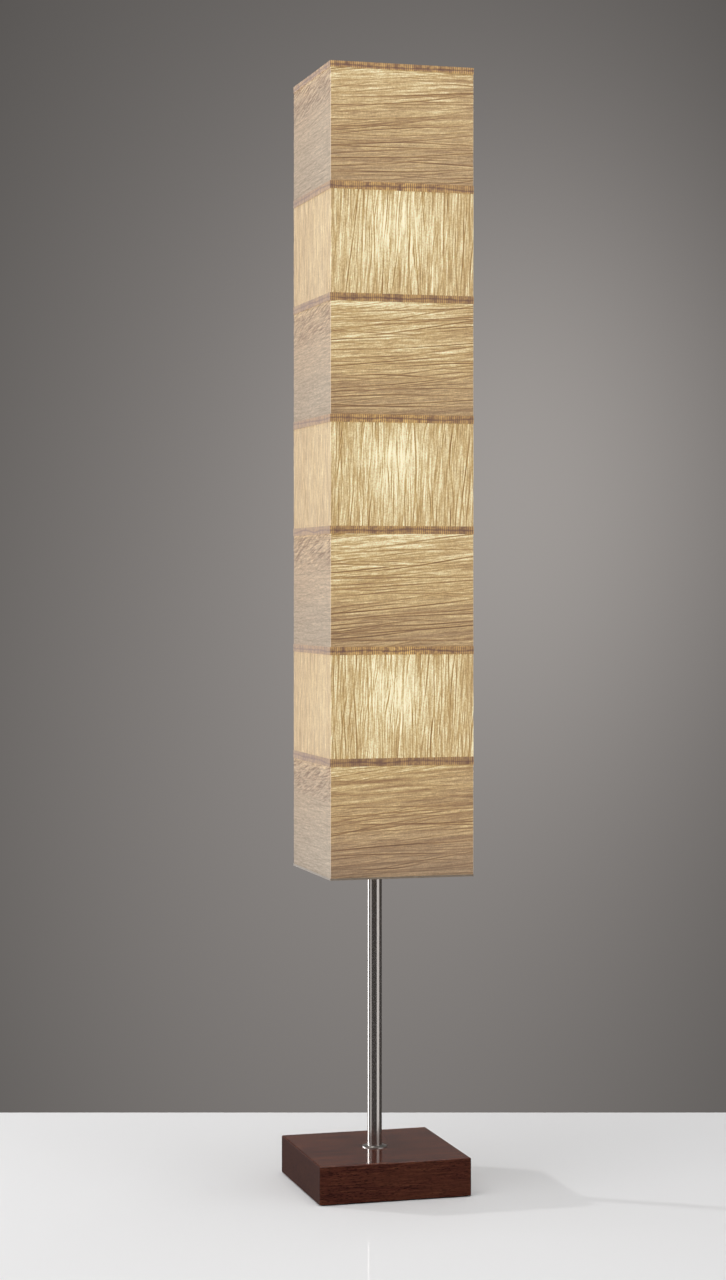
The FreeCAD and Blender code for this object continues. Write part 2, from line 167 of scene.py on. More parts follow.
def square_loop(half, corner, step):
    """Places round the shade's square, the way out at each, and how far round the loop each lies."""
    places, ways = [], []
    straight = half - corner
    inner = straight - CORNER_EDGE
    sides = [-straight, *np.linspace(-inner, inner, round(2 * inner / step) + 1), straight]
    for quarter in range(4):
        turn = Matrix.Rotation(quarter * math.pi / 2, 2)
        for along in sides:
            places.append(turn @ Vector((along, -half)))
            ways.append(turn @ Vector((0, -1)))
        for number in range(1, CORNER_STEPS):
            angle = (number / CORNER_STEPS - 1) * math.pi / 2
            way = turn @ Vector((math.cos(angle), math.sin(angle)))
            places.append(turn @ Vector((straight, -straight)) + corner * way)
            ways.append(way)
    places, ways = np.array(places), np.array(ways)
    steps = np.linalg.norm(np.diff(places, axis=0), axis=1)
    return places, ways, np.concatenate([[0], np.cumsum(steps)])


def rows_between(low, high, step):
    """Heights from low to high, about a step apart."""
    return np.linspace(low, high, round((high - low) / step) + 1)


def tube_faces(rows, columns):
    """Faces of a closed shell: an outer tube of rows and columns, then an inner one."""
    faces = []
    inner = rows * columns
    for row in range(rows - 1):
        for column in range(columns):
            a = row * columns + column
            b = row * columns + (column + 1) % columns
            faces.append((a, b, b + columns, a + columns))
            faces.append((inner + b, inner + a, inner + a + columns, inner + b + columns))
    last = (rows - 1) * columns
    for column in range(columns):
        after = (column + 1) % columns
        faces.append((after, column, inner + column, inner + after))
        faces.append((last + column, last + after, inner + last + after, inner + last + column))
    return faces


def noise_field(places, heights, stretch, offset=0.0):
    """Smooth noise at every place of a grid; stretch is the size of its lumps along x, y and z."""
    x, y = places[:, 0] / stretch[0], places[:, 1] / stretch[1]
    rows = []
    for height in heights:
        z = height / stretch[2] + offset
        rows.append([noise.noise((x[i] + offset, y[i] - offset, z)) for i in range(len(x))])
    return np.array(rows)


def smooth(low, high, values):
    """Values eased from zero at low to one at high."""
    share = np.clip((values - low) / (high - low), 0, 1)
    return share * share * (3 - 2 * share)


def front_share(ways):
    """One on the front and the back of the shade, zero on its two sides."""
    return smooth(0.3, 0.9, np.abs(ways[:, 1]))


def creases(grid, count, length, slope, width, sway, zone=(0, 1)):
    """How deep each point of a grid lies in creases that run mostly one way and fade out at their ends.

    The grid holds its places along and across the creases, the two loops after which these come round
    again, and the dice. The second answer tells how near each point lies to the raised shoulder
    beside a crease.
    """
    along, across, loops, dice = grid
    depth = np.zeros((len(along), len(across)))
    shoulder = np.zeros_like(depth)
    low, high = across.min(), across.max()
    first, last = along.min(), along.max()
    for _ in range(count):
        reach = dice.uniform(*length)
        start = dice.uniform(first - reach, last)
        place = low + (high - low) * dice.uniform(*zone)
        lean, half_width, phase = dice.uniform(*slope), dice.uniform(*width), dice.uniform(0, 2 * math.pi)
        strength = dice.uniform(CREASE_WEAKEST, 1.0)
        step = (along - start) % loops[0]
        rows = np.flatnonzero(step < reach)
        share = step[rows] / reach
        line = place + lean * (step[rows] - reach / 2) + sway * np.sin(phase + CREASE_WAVE * share)
        gap = (across[None, :] - line[:, None] + loops[1] / 2) % loops[1] - loops[1] / 2
        fade = (strength * np.sin(math.pi * share) ** CREASE_TAPER)[:, None]
        valley = np.exp(-(gap / half_width) ** 2)
        depth[rows] = np.maximum(depth[rows], fade * valley)
        beside = np.exp(-(gap / (SHOULDER_WIDTH * half_width)) ** 2) - valley
        shoulder[rows] = np.maximum(shoulder[rows], SHOULDER_GAIN * fade * beside)
    return depth, shoulder


def set_attribute(mesh, name, values):
    """A number at each point of a shell, the same on its outside and its inside."""
    attribute = mesh.attributes.new(name, "FLOAT", "POINT")
    attribute.data.foreach_set("value", np.concatenate([values.ravel(), values.ravel()]))


def crinkled_tube(name, places, ways, heights, lift, thickness, look):
    """Closed shell of cloth round the shade; lift is how far each point stands proud."""
    ground = np.stack([places[:, 0], places[:, 1]], axis=1)
    points = []
    for depth in (0, thickness):
        for row, height in enumerate(heights):
            flat = ground + ways * (lift[row] - depth)[:, None]
            points.extend([(SHADE_X + x, y, height) for x, y in flat])
    return new_piece(name, points, tube_faces(len(heights), len(places)), look, "shade")


# Light from inside, as the cloth shows it

def bulb_place(number):
    """Where a bulb's light starts, seen from the middle of the shade."""
    low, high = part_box(f"bulb_glass_{number}")
    return Vector(((low.x + high.x) / 2 - SHADE_X, (low.y + high.y) / 2, high.z - BULB_RADIUS))


bulb_places = [bulb_place(number) for number in BULBS]


def bulb_light(places, ways, heights):
    """Light of the bulbs on the cloth, one where a bulb is nearest to the front."""
    nearest = CLOTH_HALF + bulb_places[0].y
    light = np.zeros((len(heights), len(places)))
    for bulb in bulb_places:
        across = places - np.array([bulb.x, bulb.y])
        square = (across ** 2).sum(axis=1)[None, :] + ((heights - bulb.z) ** 2)[:, None]
        facing = (across * ways).sum(axis=1)[None, :]
        light += facing * nearest ** 2 / square ** 1.5
    return light


# The strips of cloth

def finish_strip(node, piece, mesh_grid, heights, crease, ridge, glow):
    """Attributes that colour a strip; the frame's solid that it stands for is hidden."""
    places, ways = mesh_grid
    # Besides shaping the cloth, crease paints shade into the creases and ridge paints highlights onto the
    # ridges
    set_attribute(piece.data, "crease", crease)
    set_attribute(piece.data, "ridge", ridge)
    set_attribute(piece.data, "glow", glow)
    sideways = np.abs(ways[:, 0])
    # Painted highlight: a pale line down the corners, on the half of each rounded corner that faces sideways
    corner = ((sideways > 0.6) & (sideways < 0.999)).astype(float)
    set_attribute(piece.data, "corner", np.tile(corner, (len(heights), 1)))
    # Painted light: the two sides of the shade are paler towards the front corner
    painted_side_light = smooth(0.5, 0.7, sideways) * smooth(1.1, -1.1, places[:, 1] / CLOTH_HALF)
    set_attribute(piece.data, "painted_side_light", np.tile(painted_side_light, (len(heights), 1)))
    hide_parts(node)


def seam_lap(around):
    """One where the two ends of a strip lap over each other, and a line along the lap's edge."""
    after_start = smooth(-SEAM_EDGE, SEAM_EDGE, around - SEAM_PLACE)
    before_end = smooth(-SEAM_EDGE, SEAM_EDGE, SEAM_PLACE + SEAM_WIDTH - around)
    edge = np.exp(-((around - SEAM_PLACE) / SEAM_LINE) ** 2)
    return (after_start * before_end)[None, :], edge[None, :]


def hold_down(heights):
    """One over most of a strip, and zero at its two edges, where the bands hold it flat."""
    share = (heights - heights[0]) / (heights[-1] - heights[0])
    return (smooth(0, HELD_SHARE, share) * smooth(0, HELD_SHARE, 1 - share))[:, None]


def flat_folds(number, around, heights, front, upper):
    """Creases and ridges that lie level; on the sides they are calmer, with short hatching near the top."""
    grid = (around, heights, (LOOP, FAR), np.random.default_rng(FLAT_SEED + number))
    long, rim = creases(grid, count=115, length=(0.10, 0.42), slope=(0.0, 0.16),
                        width=(0.55 * MM, 0.95 * MM), sway=2.4 * MM)
    fine, _ = creases(grid, count=700, length=(0.015, 0.10), slope=(-0.03, 0.17),
                      width=(0.4 * MM, 0.65 * MM), sway=0.8 * MM)
    ridge, _ = creases(grid, count=420, length=(0.02, 0.15), slope=(-0.02, 0.16),
                       width=(0.5 * MM, 1.0 * MM), sway=0.9 * MM)
    hatching = dict(count=700, length=(0.010, 0.04), slope=(0.08, 0.40), width=(0.6 * MM, 1.0 * MM),
                    sway=0.6 * MM, zone=(0.66, 1.05))
    hatch, _ = creases(grid, **hatching)
    stroke, _ = creases(grid, **hatching)
    calm = front + (1 - front) * (0.25 + 0.25 * upper)
    crease = np.maximum(long.T, 0.55 * fine.T) * calm
    crease = np.maximum(crease, hatch.T * (1 - front) * upper)
    ridge = np.maximum(np.maximum(ridge, rim).T * calm, stroke.T * (1 - front) * upper)
    if number == FLATS[-1]:
        broad, _ = creases(grid, count=60, length=(0.12, 0.50), slope=(-0.02, 0.10),
                           width=(1.3 * MM, 2.4 * MM), sway=3 * MM)
        crease = np.maximum(crease, 0.62 * broad.T * front)
    return crease, ridge


def flat_glow(number, places, heights, front, share, upper):
    """Light through a level strip, brightest under its upper edge and dimmer at the upper right."""
    low, rise, middle, top = FLAT_LIGHT[number]
    level = (low + rise * share)[:, None]
    level = level + middle * (smooth(0.28, 0.5, share) - 0.8 * smooth(0.76, 0.92, share))[:, None]
    under_band = top * np.exp(-(heights[-1] - heights) / UNDER_BAND)[:, None]
    glow = level * (0.40 + 0.60 * front) + under_band * (0.70 + 0.30 * front)
    right = smooth(0.25, 0.95, places[:, 0] / CLOTH_HALF)[None, :]
    return glow * (1 - 0.2 * upper * right)


def flat_cloth(number, look):
    """Strip whose crinkle lies level."""
    node = f"flat_cloth_{number}"
    low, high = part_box(node)
    places, ways, around = square_loop(CLOTH_HALF, CLOTH_CORNER, CLOTH_STEP)
    heights = rows_between(low.z, high.z, CREASE_STEP)
    share = (heights - low.z) / (high.z - low.z)
    upper = smooth(0.50, 0.80, share)[:, None]
    front = front_share(ways)[None, :]
    crease, ridge = flat_folds(number, around, heights, front, upper)
    lap, lap_edge = seam_lap(around)
    crease = np.maximum(crease, SEAM_SHADE * lap_edge)
    billow = noise_field(places, heights, (0.05, 0.05, 0.02), 3.1 * number)
    folds = FLAT_RIDGE_RISE * ridge - CREASE_DROP * crease + BILLOW_RISE * billow + SEAM_RISE * lap
    lift = (CLOTH_PROUD + folds) * hold_down(heights)
    piece = crinkled_tube(f"flat_crinkle_{number}", places, ways, heights, lift, CLOTH_THICKNESS,
                          look)
    glow = flat_glow(number, places, heights, front, share, upper)
    finish_strip(node, piece, (places, ways), heights, crease, ridge, glow)


def upright_folds(number, around, heights, front):
    """Creases and ridges that stand upright, calmer on the sides."""
    grid = (heights, around, (FAR, LOOP), np.random.default_rng(UPRIGHT_SEED + number))
    long, rim = creases(grid, count=340, length=(0.04, 0.16), slope=(-0.05, 0.12),
                        width=(0.6 * MM, 1.05 * MM), sway=1.2 * MM)
    fine, _ = creases(grid, count=1000, length=(0.02, 0.10), slope=(-0.06, 0.12),
                      width=(0.4 * MM, 0.65 * MM), sway=0.7 * MM)
    ridge, _ = creases(grid, count=620, length=(0.03, 0.14), slope=(-0.05, 0.11),
                       width=(0.5 * MM, 0.9 * MM), sway=0.8 * MM)
    calm = 0.55 + 0.45 * front
    return np.maximum(long, 0.6 * fine) * calm, np.maximum(ridge, rim) * calm


def upright_cloth(number, look):
    """Strip whose crinkle stands upright, brightest in front of its bulb."""
    node = f"upright_cloth_{number}"
    low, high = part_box(node)
    places, ways, around = square_loop(CLOTH_HALF, CLOTH_CORNER, CREASE_STEP)
    heights = rows_between(low.z, high.z, CLOTH_STEP)
    front = front_share(ways)[None, :]
    crease, ridge = upright_folds(number, around, heights, front)
    lap, lap_edge = seam_lap(around)
    crease = np.maximum(crease, SEAM_SHADE * lap_edge)
    folds = UPRIGHT_RIDGE_RISE * ridge - CREASE_DROP * crease + SEAM_RISE * lap
    lift = (CLOTH_PROUD + folds) * hold_down(heights)
    piece = crinkled_tube(f"upright_crinkle_{number}", places, ways, heights, lift, CLOTH_THICKNESS,
                          look)
    glow = (0.37 + 0.28 * bulb_light(places, ways, heights)) * (0.72 + 0.28 * front)
    finish_strip(node, piece, (places, ways), heights, crease, ridge, glow)


# The brown ribbons and the foam

def ribbon(name, look):
    """Woven band round the shade, with upright ribs and a fold that wanders along its middle."""
    low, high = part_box(name)
    places, ways, around = square_loop(BAND_HALF, CLOTH_CORNER + BAND_HALF - CLOTH_HALF, RIBBON_STEP)
    tall = high.z - low.z
    heights = np.linspace(low.z, high.z, max(3, round(tall / RIBBON_ROW) + 1))
    shift = noise_field(places, heights[:1], (0.02, 0.02, 0.02), 7.7 + low.z)[0]
    groups = noise_field(places, heights[:1], (0.008, 0.008, 0.02), 5.5 + low.z)[0]
    rib = 0.5 + 0.5 * np.cos(2 * math.pi * around / RIB_PITCH + 3 * shift)
    rib = 0.12 + 0.88 * rib * np.clip(0.9 + 1.1 * groups, 0.3, 1.1)
    blot = noise_field(places, heights, (0.0035, 0.0035, 0.0025), 9.1 + low.z)
    wave = noise_field(places, heights[:1], (0.05, 0.05, 0.05), 11.3 + low.z)[0]
    middle = (heights[:, None] - (low.z + high.z) / 2) - 0.3 * tall * wave[None, :]
    fold = np.exp(-(middle / FOLD_WIDTH) ** 2)
    # Painted shade: the ribs fade along the fold, so it shows darker and glows less
    ribs = np.clip(rib[None, :] + 0.45 * blot - 0.7 * fold, 0, 1)
    lift = RIB_RISE * ribs - FOLD_DROP * fold + RIBBON_PROUD
    piece = crinkled_tube(name + "_ribbon", places, ways, heights, lift, BAND_HALF - CLOTH_HALF,
                          look)
    set_attribute(piece.data, "rib", ribs)
    least = RIBBON_LIGHT_APART.get(name, RIBBON_LIGHT)
    light = np.clip(least + 1.4 * bulb_light(places, ways, heights), 0, 0.9)
    set_attribute(piece.data, "glow", light * (0.6 + 0.4 * front_share(ways)))
    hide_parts(name)


def foam_sheet(look):
    """Foam glued under the base, with rounded corners and eased edges."""
    low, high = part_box("non_slip_sheet")
    half = (high.x - low.x) / 2
    edges = ((low.z, FOAM_EASE), (low.z + FOAM_EASE, 0), (high.z - FOAM_EASE, 0), (high.z, FOAM_EASE))
    points = []
    for height, inset in edges:
        places, _, _ = square_loop(half - inset, FOAM_CORNER - inset, FOAM_STEP)
        points.extend([(x, y, height) for x, y in places])
    count = len(places)
    top = (len(edges) - 1) * count
    faces = [tuple(range(count))[::-1], tuple(range(top, top + count))]
    for row in range(len(edges) - 1):
        for column in range(count):
            a, b = row * count + column, row * count + (column + 1) % count
            faces.append((a, b, b + count, a + count))
    piece = new_piece("foam_sheet", points, faces, look, "root")
    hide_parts("non_slip_sheet")


# Materials

class Nodes:
    """Short words for the nodes of one tree."""

    def __init__(self, tree):
        self.tree = tree

    def add(self, kind, **settings):
        node = self.tree.nodes.new(kind)
        for setting, value in settings.items():
            setattr(node, setting, value)
        return node

    def fill(self, socket, value):
        """Links a socket to another, or gives it a plain value."""
        if isinstance(value, bpy.types.NodeSocket):
            self.tree.links.new(value, socket)
        else:
            socket.default_value = value

    def math(self, operation, first, second=0.5):
        node = self.add("ShaderNodeMath", operation=operation)
        self.fill(node.inputs[0], first)
        self.fill(node.inputs[1], second)
        return node.outputs[0]


class Look(Nodes):
    """One material, with short words for the nodes that colour it."""

    def __init__(self, name, **sockets):
        self.material = bpy.data.materials.new(name)
        self.material.use_nodes = True
        super().__init__(self.material.node_tree)
        self.shader = self.tree.nodes["Principled BSDF"]
        for socket, value in sockets.items():
            self.shader.inputs[socket.replace("_", " ")].default_value = value
        self.place = self.add("ShaderNodeTexCoord").outputs["Object"]

    def drive(self, name, value):
        """Feeds one of the shader's own sockets."""
        self.fill(self.shader.inputs[name], value)

    def attribute(self, name):
        return self.add("ShaderNodeAttribute", attribute_name=name).outputs["Fac"]

    def noise(self, lump, detail=3.0, roughness=0.5, distortion=0.0, tilt=0.0):
        """Noise with lumps of a given size along x, y and z, tilted as seen from the front."""
        mapping = self.add("ShaderNodeMapping", vector_type="TEXTURE")
        mapping.inputs["Scale"].default_value = lump if isinstance(lump, tuple) else (lump, lump, lump)
        mapping.inputs["Rotation"].default_value = (0, tilt, 0)
        self.fill(mapping.inputs["Vector"], self.place)
        node = self.add("ShaderNodeTexNoise")
        node.inputs["Scale"].default_value = 1.0
        node.inputs["Detail"].default_value = detail
        node.inputs["Roughness"].default_value = roughness
        node.inputs["Distortion"].default_value = distortion
        self.fill(node.inputs["Vector"], mapping.outputs["Vector"])
        return node.outputs["Fac"]

    def range(self, value, low, high, to_low=0.0, to_high=1.0):
        """A value between low and high, spread over another range."""
        node = self.add("ShaderNodeMapRange")
        for socket, number in zip(("From Min", "From Max", "To Min", "To Max"), (low, high, to_low, to_high)):
            node.inputs[socket].default_value = number
        self.fill(node.inputs["Value"], value)
        return node.outputs["Result"]

    def ramp(self, value, *stops):
        """Colour that runs through stops of (place, colour)."""
        node = self.add("ShaderNodeValToRGB")
        elements = node.color_ramp.elements
        while len(elements) < len(stops):
            elements.new(1.0)
        for element, (place, colour) in zip(elements, stops):
            element.position = place
            element.color = (*colour, 1)
        self.fill(node.inputs["Fac"], value)
        return node.outputs["Color"]

    def mix(self, share, first, second, blend="MIX"):
        """Two colours mixed, each a socket or three numbers."""
        node = self.add("ShaderNodeMix", data_type="RGBA", blend_type=blend)
        self.fill(node.inputs[0], share)
        self.fill(node.inputs[6], first if isinstance(first, bpy.types.NodeSocket) else (*first, 1))
        self.fill(node.inputs[7], second if isinstance(second, bpy.types.NodeSocket) else (*second, 1))
        return node.outputs[2]

    def bump(self, height, strength, distance):
        node = self.add("ShaderNodeBump")
        node.inputs["Strength"].default_value = strength
        node.inputs["Distance"].default_value = distance
        self.fill(node.inputs["Height"], height)
        self.drive("Normal", node.outputs["Normal"])


# Colour of the light that comes through the cloth, from dim to bright
GLOW_STOPS = (
    (0.0, (0.0, 0.0, 0.0)),
    (0.18, (0.18, 0.085, 0.012)),
    (0.37, (0.37, 0.235, 0.06)),
    (0.50, (0.50, 0.385, 0.17)),
    (0.60, (0.60, 0.52, 0.29)),
    (0.80, (0.80, 0.73, 0.48)),
)


def cloth_look(name, fibre_lump, streak_lump, tilt, painted_crease_shade, contrast):
    """Crinkled cloth that the lamps inside shine through."""
    look = Look(name, Roughness=0.85, Specular_IOR_Level=0.15, Emission_Strength=1.0, Sheen_Weight=0.12)
    crease = look.attribute("crease")
    fibre = look.noise(fibre_lump, detail=3, roughness=0.6, distortion=0.3, tilt=tilt)
    streak = look.noise(streak_lump, detail=3, roughness=0.6, distortion=0.4, tilt=tilt)
    speck = look.noise(0.0017, detail=1, roughness=0.5)
    weave = look.math("MULTIPLY", look.range(streak, 0.3, 0.7, 1 - contrast, 1 + contrast),
                      look.range(fibre, 0.3, 0.7, 1 - contrast, 1 + contrast))
    weave = look.math("MULTIPLY", weave, look.range(speck, 0.3, 0.7, 0.84, 1.16))
    body = look.ramp(look.range(weave, 0.5, 1.5), (0.0, (0.30, 0.245, 0.187)), (1.0, (0.52, 0.45, 0.373)))
    # Painted light: the sides of the shade are paler towards the front corner
    body = look.mix(look.attribute("painted_side_light"), body, look.mix(1.0, body, (1.14, 1.18, 1.20), "MULTIPLY"))
    ridge = look.attribute("ridge")
    # Painted highlight: ridges and the shoulders beside the creases are paler
    body = look.mix(look.range(ridge, 0.0, 1.0, 0.0, 0.4), body, (0.60, 0.53, 0.45))
    # Painted shade: the creases are darker
    body = look.mix(crease, body, painted_crease_shade)
    # Painted highlight: a pale line down the corners of the shade
    look.drive("Base Color", look.mix(look.attribute("corner"), body, (0.80, 0.73, 0.64)))
    raised = look.range(ridge, 0.0, 1.0, 0.91, 1.50)
    folded = look.range(crease, 0.0, 1.0, 1.12, 0.20)
    glow = look.math("MULTIPLY", look.attribute("glow"), weave)
    glow = look.math("MULTIPLY", glow, look.math("MULTIPLY", raised, folded))
    look.drive("Emission Color", look.ramp(glow, *GLOW_STOPS))
    look.bump(look.math("ADD", fibre, streak), 0.5, 0.4 * MM)
    return look.material


def ribbon_look():
    """Brown woven ribbon; the light inside shows between its upright threads."""
    look = Look("ribbon", Roughness=0.8, Specular_IOR_Level=0.2, Emission_Strength=1.0,
                Sheen_Weight=0.4, Sheen_Roughness=0.5)
    tick = look.attribute("rib")
    blotch = look.noise((0.03, 0.03, 0.004), detail=3)
    base = look.mix(tick, (0.26, 0.155, 0.120), (0.47, 0.34, 0.22))
    look.drive("Base Color", look.mix(look.range(blotch, 0.35, 0.65, 0.0, 0.5), base, (0.29, 0.19, 0.14)))
    glow = look.math("MULTIPLY", look.attribute("glow"), tick)
    look.drive("Emission Color", look.ramp(glow, (0.0, (0.03, 0.009, 0.004)), (0.4, (0.27, 0.145, 0.028)),
                                           (1.0, (0.70, 0.48, 0.13))))
    look.bump(look.noise((0.0006, 0.0006, 0.002), detail=2), 0.5, 0.2 * MM)
    return look.material


def hem_look():
    """Turned edge of the cloth, grey-brown and without light behind it."""
    look = Look("hem", Roughness=0.85, Specular_IOR_Level=0.15, Sheen_Weight=0.6, Sheen_Roughness=0.5)
    tick = look.attribute("rib")
    thread = look.noise((0.006, 0.006, 0.0008), detail=3)
    base = look.mix(look.range(thread, 0.3, 0.7), (0.29, 0.235, 0.18), (0.43, 0.355, 0.275))
    look.drive("Base Color", look.mix(look.range(tick, 0.0, 1.0, 0.3, 0.0), base, (0.24, 0.19, 0.15)))
    look.bump(thread, 0.5, 0.2 * MM)
    return look.material


def wood_look():
    """Dark red-brown wood under a thin satin coat; the grain runs from left to right."""
    look = Look("wood", Roughness=0.55, Specular_IOR_Level=0.06, Coat_IOR=1.43, Coat_Roughness=0.12)
    grain = look.noise((0.032, 0.006, 0.0018), detail=5, roughness=0.7, distortion=0.3)
    pores = look.noise((0.005, 0.0012, 0.0011), detail=2, roughness=0.6)
    board = look.noise((0.10, 0.05, 0.02), detail=2)
    colour = look.ramp(grain, (0.30, (0.042, 0.011, 0.0083)), (0.5, (0.097, 0.0258, 0.0158)),
                       (0.70, (0.170, 0.059, 0.0285)))
    colour = look.mix(look.range(pores, 0.50, 0.66, 0.0, 0.85), colour, (0.012, 0.0035, 0.0025))
    colour = look.mix(look.range(board, 0.42, 0.62, 0.0, 0.45), colour, (0.110, 0.035, 0.018))
    facing = look.add("ShaderNodeSeparateXYZ")
    look.fill(facing.inputs[0], look.add("ShaderNodeNewGeometry").outputs["Normal"])
    # The top shows broad figure, no lighter than one colour, and the two ends are dark
    figure = look.noise((0.16, 0.007, 0.02), detail=4, roughness=0.6, distortion=0.5)
    figure = look.range(figure, 0.35, 0.65)
    top_colour = look.mix(1.0, colour, look.mix(figure, (0.78, 0.60, 0.57), (1.9, 1.57, 1.2)), "MULTIPLY")
    top_colour = look.mix(1.0, top_colour, (0.185, 0.054, 0.027), "DARKEN")
    colour = look.mix(look.range(facing.outputs["Z"], 0.94, 0.99), colour, top_colour)
    end_grain = look.range(look.math("ABSOLUTE", facing.outputs["X"]), 0.6, 0.95, 0.0, 0.5)
    look.drive("Base Color", look.mix(end_grain, colour, (0.016, 0.006, 0.005)))
    look.drive("Coat Weight", look.range(facing.outputs["Z"], 0.3, 0.9, 0.04, 1.0))
    look.bump(pores, 0.15, 0.15 * MM)
    return look.material


def brushed_look(name, colour, lump, roughness, contrast=0.25):
    """Metal with fine brush marks along one direction."""
    look = Look(name, Metallic=1.0)
    marks = look.noise(lump, detail=4, roughness=0.7)
    broad = look.noise(tuple(5 * size for size in lump), detail=2)
    dark = [channel * (1 - contrast) for channel in colour]
    bright = [min(1, channel * (1 + contrast)) for channel in colour]
    look.drive("Base Color", look.mix(look.range(marks, 0.3, 0.7), dark, bright))
    look.drive("Roughness", look.range(broad, 0.3, 0.7, roughness * 0.8, roughness * 1.25))
    look.bump(marks, 0.25, 0.05 * MM)
    return look.material


def steel_pole_look():
    """Nickel brushed round the pole, which draws reflections out along it."""
    look = Look("brushed_nickel", Metallic=0.88, Roughness=0.14, Anisotropic=0.65, Anisotropic_Rotation=0.25)
    look.drive("Tangent", look.add("ShaderNodeTangent", direction_type="RADIAL", axis="Z").outputs[0])
    marks = look.noise((0.004, 0.004, 0.05), detail=4, roughness=0.6)
    look.drive("Base Color", look.mix(look.range(marks, 0.3, 0.7), (0.52, 0.482, 0.455), (0.58, 0.54, 0.51)))
    return look.material


def moulded_look(name, colour, roughness, grain, specular=0.4):
    """Plain moulded or painted surface with a fine grain."""
    look = Look(name, Specular_IOR_Level=specular)
    fine = look.noise(grain, detail=3)
    broad = look.noise(grain * 12, detail=2)
    dark = [channel * 0.82 for channel in colour]
    light = [min(1, channel * 1.12) for channel in colour]
    look.drive("Base Color", look.mix(look.range(broad, 0.3, 0.7), dark, light))
    look.drive("Roughness", look.range(fine, 0.3, 0.7, roughness * 0.85, roughness * 1.15))
    look.bump(fine, 0.3, 0.1 * MM)
    return look.material


def bulb_look():
    """Lit frosted glass with faint clouds."""
    look = Look("frosted_glass", Roughness=0.35, Emission_Strength=2.2)
    frost = look.noise(0.0012, detail=3)
    cloud = look.noise(0.02, detail=2)
    look.drive("Base Color", look.mix(frost, (0.86, 0.84, 0.80), (0.94, 0.93, 0.90)))
    look.drive("Emission Color", look.mix(cloud, (1.0, 0.80, 0.52), (1.0, 0.88, 0.66)))
    look.bump(frost, 0.2, 0.05 * MM)
    return look.material


def floor_look():
    """Pale table top with a thin gloss."""
    look = Look("studio_floor", Roughness=0.9, Specular_IOR_Level=0.0, Coat_Weight=0.18, Coat_Roughness=0.04)
    cloud = look.noise(0.6, detail=2)
    look.drive("Base Color", look.mix(cloud, (0.85, 0.85, 0.858), (0.88, 0.88, 0.888)))
    return look.material


# The lamp: soft pieces, then the solids in their finish

flat_look = cloth_look("flat_crinkle", (0.012, 0.012, 0.0015), (0.06, 0.06, 0.0022), -0.07,
                       (0.20, 0.123, 0.095), 0.29)
upright_look = cloth_look("upright_crinkle", (0.0014, 0.0014, 0.018), (0.0022, 0.0022, 0.06), 0.035,
                          (0.22, 0.135, 0.065), 0.31)
trim_look = ribbon_look()

for number in FLATS:
    flat_cloth(number, flat_look)
for number in BULBS:
    upright_cloth(number, upright_look)
for name in ["top_band"] + [f"trim_band_{number}" for number in BANDS]:
    ribbon(name, trim_look)
ribbon("bottom_hem", hem_look())
foam_sheet(moulded_look("foam", (0.035, 0.035, 0.035), 0.9, 0.0012, 0.2))


def numbered(*names):
    """Each name once for every bulb."""
    return [f"{name}_{number}" for name in names for number in BULBS]


def dress_nodes(look, *names):
    """Gives solids from the frame one material."""
    for name in names:
        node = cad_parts[name]
        node.data.materials.clear()
        node.data.materials.append(look)


collar_look = brushed_look("satin_nickel", (0.90, 0.88, 0.85), (0.02, 0.02, 0.004), 0.33, 0.05)
zinc_look = brushed_look("zinc_plate", (0.62, 0.62, 0.60), (0.003, 0.003, 0.003), 0.4)
brass_look = brushed_look("turned_brass", (0.70, 0.52, 0.26), (0.004, 0.004, 0.0006), 0.3)
bulb_metal_look = brushed_look("bulb_metal", (0.72, 0.72, 0.72), (0.004, 0.004, 0.001), 0.3)
weight_look = moulded_look("dark_steel", (0.10, 0.10, 0.10), 0.55, 0.002)
wire_look = moulded_look("painted_wire", (0.72, 0.69, 0.62), 0.45, 0.002)
black_look = moulded_look("moulded_black", (0.025, 0.025, 0.025), 0.5, 0.001)
arm_look = moulded_look("satin_paint", (0.55, 0.54, 0.52), 0.35, 0.0015)

dress_nodes(wood_look(), "base_block")
dress_nodes(steel_pole_look(), "lower_pole", "upper_pole", "top_plug", "seat_nut", "hub_washer", "finial")
dress_nodes(collar_look, "pole_collar")
dress_nodes(zinc_look, "weight_screws", "stud_washer", "stud_nut", "base_stud", "top_stem")
dress_nodes(weight_look, "weight_plate")
dress_nodes(brass_look, "pole_insert", "pole_coupling", *numbered("screw_shell"))
dress_nodes(wire_look, "corner_posts", "top_rails", "inner_rails", "bottom_rails",
            "spider_hub", "spider_arms")
dress_nodes(bulb_look(), *numbered("bulb_glass"))
dress_nodes(bulb_metal_look, *numbered("bulb_base"))
dress_nodes(black_look, "cord_inlet", *numbered("holder_shell", "holder_cap", "contact_block"))
dress_nodes(arm_look, *numbered("holder_arm"))


# Stage, lights and camera

ahead = Vector((-math.sin(CAMERA_TURN), math.cos(CAMERA_TURN), 0))
aside = Vector((ahead.y, -ahead.x, 0))
lamp_foot = Vector((0, 0, 0))


def add_floor():
    """Pale table top whose far edge is a short way behind the lamp."""
    corners = [ahead * near + aside * side for near, side in (
        (-FLOOR_FRONT, -FLOOR_SIDE), (-FLOOR_FRONT, FLOOR_SIDE),
        (FLOOR_BACK, FLOOR_SIDE), (FLOOR_BACK, -FLOOR_SIDE))]
    mesh = bpy.data.meshes.new("floor")
    mesh.from_pydata(corners, [], [(0, 1, 2, 3)])
    mesh.materials.append(floor_look())
    floor = bpy.data.objects.new("floor", mesh)
    bpy.context.scene.collection.objects.link(floor)
    # The photo's metal and lacquer mirror the backdrop down to the foot of the pole, not the floor
    floor.visible_glossy = False


